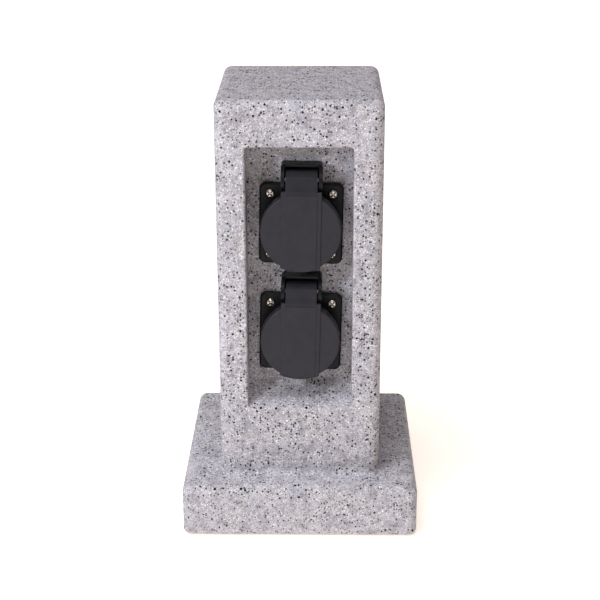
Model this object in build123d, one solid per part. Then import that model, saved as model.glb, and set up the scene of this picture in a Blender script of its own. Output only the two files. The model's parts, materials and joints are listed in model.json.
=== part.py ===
from build123d import *
import math
import os

# Outdoor double socket pillar: a granite-look column on a square base, with two lidded earthed
# sockets in a front recess. Millimetres, +Z up, the front faces -Y, the origin is the middle of
# the footprint on the ground.

# The whole pillar, from the ground to its top
TOTAL_HEIGHT = 275.0

# Base
FOOT_REACH = 1.0
BASE_SIDE = 147.5
BASE_HEIGHT = 33.5
BASE_CORNER_R = 6.0
BASE_TOP_R = 5.5
BASE_BOTTOM_R = 2.5
BASE_WALL = 9.0
BASE_ROOF = 8.0

# Base plate, its screws and the feet
PLATE_THICK = 3.0
PLATE_LEDGE = 3.5
PLATE_GAP = 0.3
PLATE_SCREW_INSET = 14.75
PLATE_BOSS_R = 5.5
PLATE_SCREW_R = 1.7
PLATE_SCREW_HEAD_R = 3.4
PLATE_SCREW_LENGTH = 13.0
PLATE_INSERT_R = 2.6
PLATE_INSERT_LENGTH = 8.0
FOOT_R = 9.0
FOOT_INSET = 26.0
FOOT_SEAT = 1.5
FOOT_STUD_R = 2.6
FOOT_BARB_R = 3.3
FOOT_BARB_HEIGHT = 1.6

# Column
COLUMN_WIDTH = 100.0
COLUMN_DEPTH = 108.0
COLUMN_CORNER_R = 6.5
COLUMN_TOP_R = 5.0
COLUMN_FOOT_R = 0.8
COLUMN_WALL = 9.0
COLUMN_FLOOR = 12.0

# Recess in the column's front: its rise above the column's foot and the stone above it
RECESS_WIDTH = 64.4
RECESS_RISE = 46.0
RECESS_LINTEL = 28.0
RECESS_DEPTH = 21.0
RECESS_CORNER_R = 2.0
RECESS_MOUTH_R = 1.4
RECESS_WALL = 7.0

# Screws that tie the column to the base
TIE_X = 32.0
TIE_Y = 36.0
TIE_R = 2.4
TIE_HEAD_R = 4.25
TIE_HEAD_HEIGHT = 5.0
TIE_KEY_R = 2.3
TIE_KEY_DEPTH = 2.5
TIE_WASHER_R = 5.0
TIE_WASHER_THICK = 1.0
TIE_INSERT_R = 3.5
TIE_INSERT_LENGTH = 9.0
TIE_HOLE_GAP = 0.35

# Opening for the wires between the base and the column
WIRE_HOLE_R = 20.0
WIRE_HOLE_Y = 8.0

# Sockets: shares of the recess's spare height below and between them, each one's place off the
# middle, and its tilt in degrees
LOW_SHARE = 0.5
MIDDLE_SHARE = 0.16
UPPER_SHIFT = 0.8
LOWER_SHIFT = 0.3
UPPER_TILT = 1.0
LOWER_TILT = 1.4

# Flange, gasket and flange screws
GASKET_THICK = 1.0
GASKET_INSET = 0.5
FLANGE_SIDE = 51.0
FLANGE_CORNER_R = 4.0
FLANGE_THICK = 2.7
FLANGE_BEVEL = 0.9
SCREW_PITCH = 38.0
SCREW_R = 1.5
SCREW_HEAD_R = 2.6
SCREW_HEAD_HEIGHT = 1.9
SCREW_HEAD_DOME = 0.6
SCREW_SINK = 1.1
SCREW_SLOT = 0.8
SCREW_SLOT_DEPTH = 1.2
SCREW_LENGTH = 7.5
SCREW_HOLE_GAP = 0.3
SCREW_INSERT_R = 2.3
SCREW_INSERT_LENGTH = 5.5

# Round body of the socket
WELL_R = 19.6
WELL_DEPTH = 17.5
COLLAR_R = 21.5
COLLAR_RIM = 15.0
COLLAR_BEVEL = 0.4
TUBE_R = 22.3
TUBE_LENGTH = 24.0
TUBE_GAP = 0.4
REAR_BORE_R = 20.5
SNAP_BEAD = 0.35
SNAP_BEAD_WIDTH = 1.6
SNAP_BEAD_BACK = 2.6
GUIDE_WIDTH = 5.4
GUIDE_REACH = 2.4
GUIDE_SINK = 1.5

# Hood and hinge: heights above the socket's middle, and distances out from the recess wall
HOOD_WIDTH = 25.0
HOOD_TOP = 39.0
HOOD_CORNER_R = 2.0
HOOD_ROOF = 1.7
HOOD_ROOF_REACH = 9.7
HOOD_NOTCH_WIDTH = 2.4
HOOD_NOTCH_DEPTH = 0.6
CHEEK_THICK = 2.2
CHEEK_R = 7.2
CHEEK_FOOT = 24.5
CHEEK_BROW_ANGLE = 50.0
PIN_UP = 29.5
PIN_OUT = 10.5
PIN_R = 1.5
PIN_GAP = 0.05
PIN_END_GAP = 0.3

# Lid
LID_R = 24.5
LID_DROP = 1.0
LID_WALL = 1.5
LID_FACE = 18.5
LID_DEPTH = 7.0
LID_PLATE = 1.8
LID_RIM_R = 1.0
BAND_WIDTH = 24.4
BAND_RISE = 0.7
BAND_EDGE_R = 0.5
BAND_CLEAR = 0.3
BAND_LIP_DROP = 0.3
BAND_LIP_R = 32.0
BAND_LIP_TOP = 14.0
RIDGE_WIDTH = 19.0
RIDGE_RISE = 0.3
KNUCKLE_R = 6.2
KNUCKLE_REACH = 7.5
KNUCKLE_BROW_ANGLE = 23.6
KNUCKLE_CROWN_ANGLE = 68.0
KNUCKLE_CROWN_R = 6.4
KNUCKLE_BEND_UP = 27.0
KNUCKLE_BEND_OUT = 18.3
RIDGE_BEND_UP = 22.0
SEAL_IN_R = 18.0
SEAL_OUT_R = 21.8
SEAL_CLEAR = 0.3
SEAL_RIB_THICK = 0.9
SEAL_RIB_HEIGHT = 1.1

# Lid spring
SPRING_WIRE_R = 0.35
SPRING_R = 2.6
SPRING_TURNS = 4
SPRING_PITCH = 1.35
SPRING_BACK_LEG = 6.0
SPRING_FRONT_LEG = 3.4
SPRING_POCKET_GAP = 0.8
SPRING_POCKET_FRONT = 14.6
SPRING_POCKET_TOP = 4.2

# Socket insert and its contacts
INSERT_R = 20.3
INSERT_THICK = 13.0
PIN_PITCH = 19.0
PIN_HOLE_R = 2.75
PIN_HOLE_BEVEL = 0.5
INSERT_FACE_THICK = 3.0
SLEEVE_IN_R = 2.45
SLEEVE_OUT_R = 3.2
SLEEVE_GAP = 0.15
SLEEVE_SLIT = 0.7
CLAMP_WIDTH = 5.4
CLAMP_HEIGHT = 9.6
CLAMP_LENGTH = 7.0
CLAMP_HOLE_R = 1.55
CLAMP_HOLE_DEPTH = 6.0
CLAMP_HOLE_PITCH = 4.6
CLAMP_SCREW_R = 1.0
CLAMP_SCREW_HEAD_R = 1.7
CLAMP_SCREW_HEAD = 1.4
CLAMP_SCREW_BACK = 3.5

# Earth clip
CLIP_WIDTH = 6.0
CLIP_THICK = 0.8
CLIP_SLOT_GAP = 0.35
CLIP_ROOT = 17.5
CLIP_TOUCH = 16.3
CLIP_TOUCH_OUT = 7.0
CLIP_TIP = 18.3
CLIP_TIP_OUT = 11.5
CLIP_BEND_R = 1.2

# Rear cap
CAP_WALL = 1.6
CAP_PLATE = 2.0
CAP_LAP = 6.0
CAP_FIT = 0.05
CAP_SLEEVE_WALL = 1.5
CAP_OUTLET_WIDTH = 28.0
CAP_OUTLET_HEIGHT = 13.0

# Cable gland in its pocket in the base's rear wall
POCKET_WIDTH = 36.0
POCKET_LOW = 6.5
POCKET_HEIGHT = 19.5
POCKET_DEPTH = 30.0
POCKET_WALL = 4.0
POCKET_CORNER_R = 2.0
GLAND_FLATS = 18.0
GLAND_THREAD_R = 7.9
GLAND_HOLE_GAP = 0.2
GLAND_BORE_R = 5.5
GLAND_COLLAR = 6.0
GLAND_WASHER_R = 9.3
GLAND_WASHER_THICK = 1.5
GLAND_LOCKNUT = 5.0
GLAND_NUT_LENGTH = 15.0
GLAND_NUT_HEX = 8.0
GLAND_NUT_MOUTH_R = 5.2
GLAND_NUT_LIP = 1.8
GLAND_NECK_R = 7.5
GLAND_NECK = 5.5
GLAND_SEAL_IN_R = 4.5
GLAND_SEAL_OUT_R = 6.4
GLAND_SEAL_GAP = 0.15

# Terminal block under the base's roof
BLOCK_LENGTH = 31.0
BLOCK_DEPTH = 18.0
BLOCK_HEIGHT = 15.0
BLOCK_Y = -34.0
POLE_PITCH = 10.0
POLE_R = 3.4
POLE_LENGTH = 16.0
POLE_BORE_R = 1.7
POLE_DROP = 8.5
POLE_SCREW_R = 1.4
POLE_SCREW_OFFSET = 4.5
POLE_SCREW_LENGTH = 4.5
BLOCK_SCREW_R = 1.2
BLOCK_SCREW_HEAD_R = 2.2
BLOCK_SCREW_HEAD = 1.6
BLOCK_SCREW_BITE = 6.0

# Inner wires
WIRE_R = 1.3
WIRE_SIDES = 8
WIRE_IN_CLAMP = 5.0
WIRE_BACK_RUN = 39.0
WIRE_SWAY = 3.0
WIRE_IN_POLE = 7.0
WIRE_RADIUS_SHARE = 0.45

# Seats and press fits
FIT = 0.02
CUT = 1.0

# Worked out from the values above
COLUMN_Z = FOOT_REACH + BASE_HEIGHT
COLUMN_HEIGHT = TOTAL_HEIGHT - COLUMN_Z
ROOF_Z = COLUMN_Z - BASE_ROOF
PLATE_TOP_Z = FOOT_REACH + PLATE_THICK
RECESS_Z = COLUMN_Z + RECESS_RISE
RECESS_HEIGHT = COLUMN_HEIGHT - RECESS_RISE - RECESS_LINTEL
RECESS_BACK_Y = RECESS_DEPTH - COLUMN_DEPTH / 2
SOCKET_HEIGHT = FLANGE_SIDE / 2 + HOOD_TOP
RECESS_SPARE = RECESS_HEIGHT - 2 * SOCKET_HEIGHT
LOWER_RISE = FLANGE_SIDE / 2 + LOW_SHARE * RECESS_SPARE
SOCKET_PITCH = SOCKET_HEIGHT + MIDDLE_SHARE * RECESS_SPARE
FLANGE_FACE = GASKET_THICK + FLANGE_THICK
WELL_FLOOR = COLLAR_RIM - WELL_DEPTH
LID_BACK = LID_FACE - LID_DEPTH
LID_INSIDE = LID_FACE - LID_PLATE
BAND_FACE = LID_FACE + BAND_RISE
RIDGE_FACE = BAND_FACE + RIDGE_RISE
BAND_LOW = -LID_DROP - LID_R - BAND_LIP_DROP
INSERT_BACK = WELL_FLOOR - INSERT_THICK
CAP_BACK = -TUBE_LENGTH - CAP_PLATE
SCREW_HALF = SCREW_PITCH / 2
PIN_HALF = PIN_PITCH / 2
PLATE_SCREW_AT = BASE_SIDE / 2 - PLATE_SCREW_INSET
FOOT_AT = BASE_SIDE / 2 - FOOT_INSET
POCKET_BACK_Y = BASE_SIDE / 2 - POCKET_DEPTH
GLAND_Z = POCKET_LOW + POCKET_HEIGHT / 2
POLE_Z = ROOF_Z - POLE_DROP

STANDING = (Align.CENTER, Align.CENTER, Align.MIN)


def post(radius, low, high, x=0.0, y=0.0):
    """A cylinder along Z between two heights."""
    return Pos(x, y, low) * Cylinder(radius, high - low, align=STANDING)


def slab(x_low, x_high, y_low, y_high, z_low, z_high):
    """A box between two values on each axis."""
    middle = Pos((x_low + x_high) / 2, (y_low + y_high) / 2, (z_low + z_high) / 2)
    return middle * Box(x_high - x_low, y_high - y_low, z_high - z_low)


def ring(outer, inner, low, high):
    """A plain ring along Z."""
    return post(outer, low, high) - post(inner, low - CUT, high + CUT)


def corners(x, y):
    """Four places, mirrored in X and Y."""
    return [(side * x, end * y) for side in (-1, 1) for end in (-1, 1)]


def turned(points):
    """A solid of revolution about Z, from its half section as radius and height."""
    outline = Polyline(*[(radius, 0, height) for radius, height in points], close=True)
    return revolve(make_face(outline), Axis.Z)


def side_cut(points, x_low, x_high):
    """A side outline, as up and out in a socket's own frame, carried along X."""
    outline = make_face(Polyline(*points, close=True))
    return Pos(x_low, 0, 0) * extrude(Plane.YZ * outline, x_high - x_low)


def hexagon(flats, low, high):
    """A hexagonal bar along Z, with two flats level in the base's pocket."""
    return Pos(0, 0, low) * extrude(RegularPolygon(flats / 2, 6, major_radius=False), high - low)


def socket_frame(shift, rise, tilt):
    """Place of a socket's own frame: X right, Y up, Z out of the recess, lying on its back wall."""
    return Pos(shift, RECESS_BACK_Y, RECESS_Z + rise) * Rot(0, tilt, 0) * Rot(90, 0, 0)


def gland_frame():
    """Place of the gland's own frame, whose Z runs out of the base's back from the pocket's wall."""
    return Pos(0, POCKET_BACK_Y, GLAND_Z) * Rot(-90, 0, 0)


SOCKETS = {
    "upper": socket_frame(UPPER_SHIFT, LOWER_RISE + SOCKET_PITCH, UPPER_TILT),
    "lower": socket_frame(LOWER_SHIFT, LOWER_RISE, LOWER_TILT),
}


def column_shell():
    """The cast column: rounded block, front recess, hollow behind it and holes for the sockets."""
    outline = RectangleRounded(COLUMN_WIDTH, COLUMN_DEPTH, COLUMN_CORNER_R)
    body = Pos(0, 0, COLUMN_Z) * extrude(outline, COLUMN_HEIGHT)
    body = fillet(body.faces().sort_by(Axis.Z)[-1].edges(), COLUMN_TOP_R)
    body = fillet(body.faces().sort_by(Axis.Z)[0].edges(), COLUMN_FOOT_R)
    front_y = -COLUMN_DEPTH / 2
    recess_z = RECESS_Z + RECESS_HEIGHT / 2
    mouth = RectangleRounded(RECESS_WIDTH, RECESS_HEIGHT, RECESS_CORNER_R)
    recess = Pos(0, front_y, recess_z) * Rot(90, 0, 0) * extrude(mouth, -RECESS_DEPTH)
    body -= recess
    rim = body.edges().filter_by(lambda edge: abs(edge.center().Y - front_y) < FIT)
    rim = rim.filter_by(lambda edge: abs(edge.center().X) < RECESS_WIDTH / 2 + FIT)
    rim = rim.filter_by(lambda edge: abs(edge.center().Z - recess_z) < RECESS_HEIGHT / 2 + FIT)
    body = fillet(rim, RECESS_MOUTH_R)
    hollow = slab(
        COLUMN_WALL - COLUMN_WIDTH / 2,
        COLUMN_WIDTH / 2 - COLUMN_WALL,
        front_y + COLUMN_WALL,
        COLUMN_DEPTH / 2 - COLUMN_WALL,
        COLUMN_Z + COLUMN_FLOOR,
        COLUMN_Z + COLUMN_HEIGHT - COLUMN_WALL,
    )
    side = RECESS_WIDTH / 2 + RECESS_WALL
    hollow -= slab(
        -side,
        side,
        front_y,
        RECESS_BACK_Y + RECESS_WALL,
        RECESS_Z - RECESS_WALL,
        RECESS_Z + RECESS_HEIGHT + RECESS_WALL,
    )
    body -= hollow
    body -= post(WIRE_HOLE_R, COLUMN_Z - CUT, COLUMN_Z + COLUMN_FLOOR + CUT, 0, WIRE_HOLE_Y)
    for x, y in corners(TIE_X, TIE_Y):
        body -= post(TIE_INSERT_R + FIT, COLUMN_Z - CUT, COLUMN_Z + TIE_INSERT_LENGTH, x, y)
    for frame in SOCKETS.values():
        body -= frame * post(TUBE_R + TUBE_GAP, -RECESS_WALL - CUT, CUT)
        for x, y in corners(SCREW_HALF, SCREW_HALF):
            body -= frame * post(SCREW_INSERT_R + FIT, -RECESS_WALL - CUT, CUT, x, y)
    return body


def gland_pocket():
    """The pocket in the base's rear wall, its block and the hole for the gland."""
    half = POCKET_WIDTH / 2
    rear_y = BASE_SIDE / 2
    block = slab(
        -half - POCKET_WALL,
        half + POCKET_WALL,
        POCKET_BACK_Y - POCKET_WALL,
        rear_y - BASE_WALL + FIT,
        PLATE_TOP_Z + PLATE_GAP,
        ROOF_Z + FIT,
    )
    mouth = RectangleRounded(POCKET_WIDTH, POCKET_HEIGHT, POCKET_CORNER_R)
    room = Pos(0, POCKET_BACK_Y, GLAND_Z) * Rot(-90, 0, 0) * extrude(mouth, POCKET_DEPTH + CUT)
    hole = gland_frame() * post(GLAND_THREAD_R + GLAND_HOLE_GAP, -POCKET_WALL - CUT, CUT)
    return block, room + hole


def base_plinth():
    """The cast base: a low square block, hollow from below, with bosses for the plate's screws."""
    outline = RectangleRounded(BASE_SIDE, BASE_SIDE, BASE_CORNER_R)
    body = Pos(0, 0, FOOT_REACH) * extrude(outline, BASE_HEIGHT)
    body = fillet(body.faces().sort_by(Axis.Z)[-1].edges(), BASE_TOP_R)
    body = fillet(body.faces().sort_by(Axis.Z)[0].edges(), BASE_BOTTOM_R)
    inner = BASE_SIDE / 2 - BASE_WALL
    body -= slab(-inner, inner, -inner, inner, FOOT_REACH - CUT, ROOF_Z)
    ledge = inner + PLATE_LEDGE
    body -= slab(-ledge, ledge, -ledge, ledge, FOOT_REACH - CUT, PLATE_TOP_Z)
    for x, y in corners(PLATE_SCREW_AT, PLATE_SCREW_AT):
        body += post(PLATE_BOSS_R, PLATE_TOP_Z, ROOF_Z + FIT, x, y)
        body -= post(PLATE_INSERT_R + FIT, PLATE_TOP_Z - CUT, PLATE_TOP_Z + PLATE_INSERT_LENGTH + CUT, x, y)
        body -= post(PLATE_SCREW_R + FIT, PLATE_TOP_Z, PLATE_TOP_Z + PLATE_SCREW_LENGTH, x, y)
    block, room = gland_pocket()
    body = body + block - room
    body -= post(WIRE_HOLE_R, ROOF_Z - CUT, COLUMN_Z + CUT, 0, WIRE_HOLE_Y)
    for x, y in corners(TIE_X, TIE_Y):
        body -= post(TIE_R + TIE_HOLE_GAP, ROOF_Z - CUT, COLUMN_Z + CUT, x, y)
    for x in (-POLE_PITCH / 2, POLE_PITCH / 2):
        body -= post(BLOCK_SCREW_R + FIT, ROOF_Z - CUT, ROOF_Z + BLOCK_SCREW_BITE + FIT, x, BLOCK_Y)
    return body


def base_plate():
    """The plate that closes the base from below, countersunk for its screws and sunk for its feet."""
    side = BASE_SIDE - 2 * BASE_WALL + 2 * PLATE_LEDGE - 2 * PLATE_GAP
    body = slab(-side / 2, side / 2, -side / 2, side / 2, FOOT_REACH, PLATE_TOP_Z)
    for x, y in corners(PLATE_SCREW_AT, PLATE_SCREW_AT):
        body -= Pos(x, y, FOOT_REACH) * plate_screw_form(FIT)
    for x, y in corners(FOOT_AT, FOOT_AT):
        body -= post(FOOT_R + FIT, FOOT_REACH - CUT, FOOT_REACH + FOOT_SEAT, x, y)
        body -= post(FOOT_STUD_R + FIT, FOOT_REACH, PLATE_TOP_Z + CUT, x, y)
    return body


def plate_screw_form(gap):
    """A countersunk screw, head down, from its head's face, grown by a gap all round."""
    sink = PLATE_SCREW_HEAD_R - PLATE_SCREW_R
    return turned(
        [
            (0, -gap),
            (PLATE_SCREW_HEAD_R + gap, -gap),
            (PLATE_SCREW_R + gap, sink),
            (PLATE_SCREW_R + gap, PLATE_SCREW_LENGTH),
            (0, PLATE_SCREW_LENGTH),
        ]
    )


def base_plate_screws():
    """Four countersunk screws with a cross recess in the head."""
    screw = plate_screw_form(0.0)
    for turn in (0, 90):
        slot = slab(-PLATE_SCREW_R, PLATE_SCREW_R, -SCREW_SLOT / 2, SCREW_SLOT / 2, -CUT, SCREW_SLOT_DEPTH)
        screw -= Rot(0, 0, turn) * slot
    return [Pos(x, y, FOOT_REACH) * screw for x, y in corners(PLATE_SCREW_AT, PLATE_SCREW_AT)]


def plate_screw_inserts():
    """Four brass inserts in the base's bosses."""
    top = PLATE_TOP_Z + PLATE_INSERT_LENGTH
    insert = ring(PLATE_INSERT_R, PLATE_SCREW_R + FIT, PLATE_TOP_Z + PLATE_GAP, top)
    return [Pos(x, y, 0) * insert for x, y in corners(PLATE_SCREW_AT, PLATE_SCREW_AT)]


def rubber_feet():
    """Four rubber feet, each with a stud and barb pushed through the plate."""
    seat = FOOT_REACH + FOOT_SEAT
    barb = PLATE_TOP_Z + FIT
    foot = turned(
        [
            (0, 0),
            (FOOT_R - FOOT_REACH / 2, 0),
            (FOOT_R, FOOT_REACH / 2),
            (FOOT_R, seat),
            (FOOT_STUD_R, seat),
            (FOOT_STUD_R, barb),
            (FOOT_BARB_R, barb),
            (FOOT_STUD_R, barb + FOOT_BARB_HEIGHT),
            (0, barb + FOOT_BARB_HEIGHT),
        ]
    )
    return [Pos(x, y, 0) * foot for x, y in corners(FOOT_AT, FOOT_AT)]


def column_tie_screws():
    """Four socket-head screws up through the base's roof into the column."""
    under_head = ROOF_Z - TIE_WASHER_THICK
    top = COLUMN_Z + TIE_INSERT_LENGTH - CUT
    screw = post(TIE_HEAD_R, under_head - TIE_HEAD_HEIGHT, under_head)
    screw += post(TIE_R, under_head - FIT, top)
    screw -= hexagon(2 * TIE_KEY_R, under_head - TIE_HEAD_HEIGHT - FIT, under_head - TIE_HEAD_HEIGHT + TIE_KEY_DEPTH)
    return [Pos(x, y, 0) * screw for x, y in corners(TIE_X, TIE_Y)]


def column_tie_washers():
    """Four washers under the tie screws' heads."""
    washer = ring(TIE_WASHER_R, TIE_R + FIT, ROOF_Z - TIE_WASHER_THICK, ROOF_Z)
    return [Pos(x, y, 0) * washer for x, y in corners(TIE_X, TIE_Y)]


def column_tie_inserts():
    """Four brass inserts in the column's floor."""
    insert = ring(TIE_INSERT_R, TIE_R + FIT, COLUMN_Z, COLUMN_Z + TIE_INSERT_LENGTH)
    return [Pos(x, y, 0) * insert for x, y in corners(TIE_X, TIE_Y)]


def face_outline(inset):
    """The socket's outline on the wall: a rounded square with the hood's tab above it."""
    side = FLANGE_SIDE - 2 * inset
    square = RectangleRounded(side, side, FLANGE_CORNER_R - inset)
    tab_low = HOOD_TOP - HOOD_WIDTH
    tab = RectangleRounded(HOOD_WIDTH - 2 * inset, HOOD_TOP - tab_low - inset, HOOD_CORNER_R - inset)
    return square + Pos(0, (HOOD_TOP - inset + tab_low) / 2) * tab


def gasket():
    """The flat gasket between the recess wall and the socket's flange."""
    body = extrude(face_outline(GASKET_INSET), GASKET_THICK)
    body -= post(TUBE_R + TUBE_GAP, -CUT, GASKET_THICK + CUT)
    for x, y in corners(SCREW_HALF, SCREW_HALF):
        body -= post(SCREW_R + SCREW_HOLE_GAP, -CUT, GASKET_THICK + CUT, x, y)
    return body


def hood_side():
    """The hood's side outline as up and out: level roof, sloping brow, front round about the pin."""
    brow = math.radians(CHEEK_BROW_ANGLE)
    foot_out = PIN_OUT + math.sqrt(CHEEK_R**2 - (PIN_UP - CHEEK_FOOT) ** 2)
    brow_up = PIN_UP + CHEEK_R * math.sin(brow)
    brow_out = PIN_OUT + CHEEK_R * math.cos(brow)
    roof_out = brow_out - (HOOD_TOP - brow_up) * math.tan(brow)
    lines = [
        Line((CHEEK_FOOT, GASKET_THICK), (CHEEK_FOOT, foot_out)),
        ThreePointArc((CHEEK_FOOT, foot_out), (PIN_UP, PIN_OUT + CHEEK_R), (brow_up, brow_out)),
        Line((brow_up, brow_out), (HOOD_TOP, roof_out)),
        Line((HOOD_TOP, roof_out), (HOOD_TOP, GASKET_THICK)),
        Line((HOOD_TOP, GASKET_THICK), (CHEEK_FOOT, GASKET_THICK)),
    ]
    return make_face(Wire(lines))


def hood():
    """The hinge hood above the socket: two cheeks, a short roof and the holes for the pin."""
    half = HOOD_WIDTH / 2
    inside = half - CHEEK_THICK
    front = PIN_OUT + CHEEK_R + CUT
    body = Pos(-half, 0, 0) * extrude(Plane.YZ * hood_side(), HOOD_WIDTH)
    body &= extrude(face_outline(0.0), front)
    body -= slab(-inside, inside, CHEEK_FOOT - CUT, HOOD_TOP - HOOD_ROOF, FLANGE_FACE, front)
    body -= slab(-inside, inside, CHEEK_FOOT - CUT, HOOD_TOP + CUT, HOOD_ROOF_REACH, front)
    return body


def pin_rod(radius, x_low, x_high):
    """A cylinder along the hinge pin's axis."""
    return Pos(x_low, PIN_UP, PIN_OUT) * Rot(0, 90, 0) * Cylinder(radius, x_high - x_low, align=STANDING)


def housing():
    """The socket's moulded body: flange, collar and rear tube in one, with its hood and guide ribs."""
    flange = Pos(0, 0, GASKET_THICK) * extrude(face_outline(0.0), FLANGE_THICK)
    flange = chamfer(flange.faces().sort_by(Axis.Z)[-1].edges(), FLANGE_BEVEL)
    bead_back = -TUBE_LENGTH + SNAP_BEAD_BACK
    bead_front = bead_back + SNAP_BEAD_WIDTH
    outside = turned(
        [
            (0, -TUBE_LENGTH),
            (TUBE_R, -TUBE_LENGTH),
            (TUBE_R, bead_back),
            (TUBE_R + SNAP_BEAD, (bead_back + bead_front) / 2),
            (TUBE_R, bead_front),
            (TUBE_R, FLANGE_FACE - FIT),
            (COLLAR_R, FLANGE_FACE - FIT),
            (COLLAR_R, COLLAR_RIM - COLLAR_BEVEL),
            (COLLAR_R - COLLAR_BEVEL, COLLAR_RIM),
            (0, COLLAR_RIM),
        ]
    )
    bore = turned(
        [
            (0, -TUBE_LENGTH - CUT),
            (REAR_BORE_R, -TUBE_LENGTH - CUT),
            (REAR_BORE_R, WELL_FLOOR),
            (WELL_R, WELL_FLOOR),
            (WELL_R, COLLAR_RIM - COLLAR_BEVEL),
            (WELL_R + COLLAR_BEVEL, COLLAR_RIM),
            (0, COLLAR_RIM + FIT),
        ]
    )
    body = flange + outside + hood() - bore
    half_notch = HOOD_NOTCH_WIDTH / 2
    notch_low = HOOD_TOP - HOOD_NOTCH_DEPTH
    body -= slab(-half_notch, half_notch, notch_low, HOOD_TOP + CUT, GASKET_THICK - CUT, FLANGE_FACE)
    for side in (-1, 1):
        rib = slab(
            WELL_R - GUIDE_REACH,
            WELL_R + CUT,
            -GUIDE_WIDTH / 2,
            GUIDE_WIDTH / 2,
            WELL_FLOOR,
            COLLAR_RIM - GUIDE_SINK,
        )
        body += Rot(0, 0, 90 - 90 * side) * rib
    for x, y in corners(SCREW_HALF, SCREW_HALF):
        body -= post(SCREW_R + SCREW_HOLE_GAP, GASKET_THICK - CUT, FLANGE_FACE + CUT, x, y)
        body -= post(SCREW_HEAD_R + SCREW_HOLE_GAP, FLANGE_FACE - SCREW_SINK, FLANGE_FACE + CUT, x, y)
    body -= pin_rod(PIN_R + FIT, -HOOD_WIDTH, HOOD_WIDTH)
    return body


def flange_screws():
    """Four cross-recess screws with low domed heads."""
    seat = FLANGE_FACE - SCREW_SINK
    top = seat + SCREW_HEAD_HEIGHT
    screw = turned(
        [
            (0, seat - SCREW_LENGTH),
            (SCREW_R, seat - SCREW_LENGTH),
            (SCREW_R, seat),
            (SCREW_HEAD_R, seat),
            (SCREW_HEAD_R, top - SCREW_HEAD_DOME),
            (SCREW_HEAD_R - SCREW_HEAD_DOME, top),
            (0, top),
        ]
    )
    reach = SCREW_HEAD_R - SCREW_HEAD_DOME
    for turn in (45, 135):
        slot = slab(-reach, reach, -SCREW_SLOT / 2, SCREW_SLOT / 2, top - SCREW_SLOT_DEPTH, top + CUT)
        screw -= Rot(0, 0, turn) * slot
    return [Pos(x, y, 0) * screw for x, y in corners(SCREW_HALF, SCREW_HALF)]


def flange_screw_inserts():
    """Four brass inserts in the recess wall."""
    insert = ring(SCREW_INSERT_R, SCREW_R + FIT, -SCREW_INSERT_LENGTH, 0)
    return [Pos(x, y, 0) * insert for x, y in corners(SCREW_HALF, SCREW_HALF)]


def band_outline():
    """The lid's middle band seen from the front: a strip whose lower end is a flat arc."""
    half = BAND_WIDTH / 2
    top = CHEEK_FOOT - BAND_CLEAR
    sag = BAND_LIP_R - math.sqrt(BAND_LIP_R**2 - half**2)
    lines = [
        ThreePointArc((-half, BAND_LOW + sag), (0, BAND_LOW), (half, BAND_LOW + sag)),
        Line((half, BAND_LOW + sag), (half, top)),
        Line((half, top), (-half, top)),
        Line((-half, top), (-half, BAND_LOW + sag)),
    ]
    return make_face(Wire(lines))


def lid_tongue():
    """The hinge tongue's side: ridge face running up, a crisp brow, then back over the knuckle."""
    brow = math.radians(KNUCKLE_BROW_ANGLE)
    crown = math.radians(KNUCKLE_CROWN_ANGLE)
    half = RIDGE_WIDTH / 2
    front = [
        (RIDGE_BEND_UP - LID_WALL, LID_BACK + LID_WALL),
        (RIDGE_BEND_UP - LID_WALL, RIDGE_FACE),
        (RIDGE_BEND_UP, RIDGE_FACE),
        (KNUCKLE_BEND_UP, KNUCKLE_BEND_OUT),
        (PIN_UP + KNUCKLE_REACH * math.sin(brow), PIN_OUT + KNUCKLE_REACH * math.cos(brow)),
        (PIN_UP + KNUCKLE_CROWN_R * math.sin(crown), PIN_OUT + KNUCKLE_CROWN_R * math.cos(crown)),
        (PIN_UP + KNUCKLE_R, PIN_OUT),
        (PIN_UP, PIN_OUT),
    ]
    return side_cut(front, -half, half) + pin_rod(KNUCKLE_R, -half, half)


def lid():
    """The lid: a shallow round cover with a raised band, finger lip, ridge and hinge knuckle."""
    cover = post(LID_R, LID_BACK, LID_FACE, 0, -LID_DROP)
    cover = fillet(cover.faces().sort_by(Axis.Z)[-1].edges(), LID_RIM_R)
    outline = band_outline()
    band = Pos(0, 0, LID_INSIDE) * extrude(outline, BAND_FACE - LID_INSIDE)
    band = fillet(band.faces().sort_by(Axis.Z)[-1].edges(), BAND_EDGE_R)
    lip = Pos(0, 0, LID_BACK) * extrude(outline, BAND_FACE - BAND_RISE - LID_BACK)
    lip &= slab(-BAND_WIDTH, BAND_WIDTH, BAND_LOW - CUT, -BAND_LIP_TOP, LID_BACK, LID_FACE)
    half = RIDGE_WIDTH / 2
    ridge = slab(-half, half, BAND_LOW + LID_WALL, RIDGE_BEND_UP, BAND_FACE - FIT, RIDGE_FACE)
    body = cover + band + lip + ridge + lid_tongue()
    body -= post(LID_R - LID_WALL, LID_BACK - CUT, LID_INSIDE, 0, -LID_DROP)
    body += ring(SEAL_IN_R - FIT, SEAL_IN_R - FIT - SEAL_RIB_THICK, LID_INSIDE - SEAL_RIB_HEIGHT, LID_INSIDE + FIT)
    pocket = SPRING_TURNS * SPRING_PITCH / 2 + SPRING_WIRE_R + SPRING_POCKET_GAP
    body -= slab(
        -pocket,
        pocket,
        CHEEK_FOOT - BAND_CLEAR,
        PIN_UP + SPRING_POCKET_TOP,
        PIN_OUT - KNUCKLE_R - CUT,
        SPRING_POCKET_FRONT,
    )
    body -= pin_rod(PIN_R + PIN_GAP, -HOOD_WIDTH, HOOD_WIDTH)
    return body


def lid_seal():
    """The ring seal inside the lid, which meets the collar's rim."""
    return ring(SEAL_OUT_R, SEAL_IN_R, COLLAR_RIM + SEAL_CLEAR, LID_INSIDE)


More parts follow.
